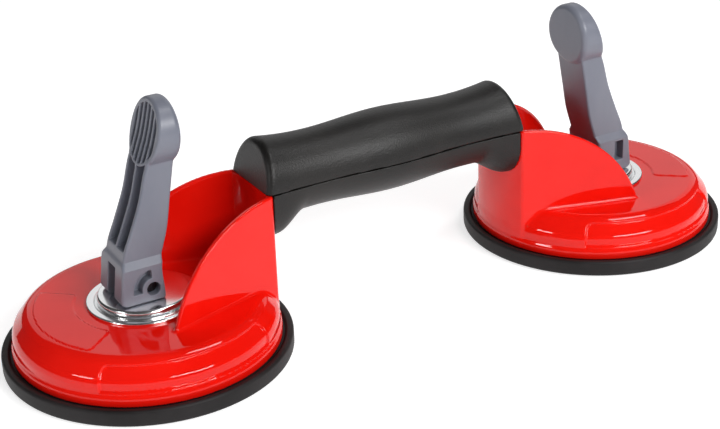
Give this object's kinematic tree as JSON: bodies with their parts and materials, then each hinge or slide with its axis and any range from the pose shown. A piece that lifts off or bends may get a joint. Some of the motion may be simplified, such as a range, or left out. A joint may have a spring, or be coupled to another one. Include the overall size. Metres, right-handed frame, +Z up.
{
  "type": "vacuum suction lifter",
  "caption": "Hand-held vacuum lifter: round rubber suction cups under domed shells, joined by a bar handle, each with a fold-down cam lever that draws its disc up.",
  "frame": {"origin": "on the plane of the suction faces, half way between the two cups", "axes": "+X from one cup to the other along the handle, +Y across the handle, +Z up, away from the surface that is gripped"},
  "size_m": [0.347, 0.12, 0.1092],
  "materials": {
    "red_paint": "high gloss",
    "black_rubber": "matt",
    "bright_chrome": "mirror",
    "plain_steel": "bright",
    "grey_plastic": "satin",
    "black_plastic": "satin"
  },
  "bodies": {
    "lifter_body": {"shell_left": "red_paint", "suction_disc_left": "black_rubber", "wear_plate_left": "bright_chrome", "return_spring_left": "plain_steel", "shell_right": "red_paint", "suction_disc_right": "black_rubber", "wear_plate_right": "bright_chrome", "return_spring_right": "plain_steel", "handle_upper": "black_plastic", "handle_lower": "black_plastic", "handle_bar": "plain_steel", "handle_screws": "plain_steel", "bar_rivets": "plain_steel"},
    "draw_left": {"draw_stem_left": "plain_steel", "core_plate_left": "plain_steel"},
    "draw_right": {"draw_stem_right": "plain_steel", "core_plate_right": "plain_steel"},
    "lever_arm_left": {"lever_left": "grey_plastic", "pivot_pin_left": "plain_steel"},
    "lever_arm_right": {"lever_right": "grey_plastic", "pivot_pin_right": "plain_steel"}
  },
  "joints": [
    {"name": "draw_slide_left", "type": "slide", "parent": "lifter_body", "child": "draw_left", "axis": [0, 0, 1], "range_m": [0, 0.0085], "deforming": ["suction_disc_left", "return_spring_left"]},
    {"name": "lever_hinge_left", "type": "hinge", "parent": "draw_left", "child": "lever_arm_left", "pos_m": [-0.1135, 0, 0.0333], "axis": [0, -1, 0], "range_deg": [0, 98]},
    {"name": "draw_slide_right", "type": "slide", "parent": "lifter_body", "child": "draw_right", "axis": [0, 0, 1], "range_m": [0, 0.0085], "deforming": ["suction_disc_right", "return_spring_right"]},
    {"name": "lever_hinge_right", "type": "hinge", "parent": "draw_right", "child": "lever_arm_right", "pos_m": [0.1135, 0, 0.0333], "axis": [0, 1, 0], "range_deg": [0, 98]}
  ],
  "couplings": [
    {"joint": "draw_slide_left", "follows": "lever_hinge_left", "m_per_rad": 0.0049111},
    {"joint": "draw_slide_right", "follows": "lever_hinge_right", "m_per_rad": 0.0049111}
  ]
}
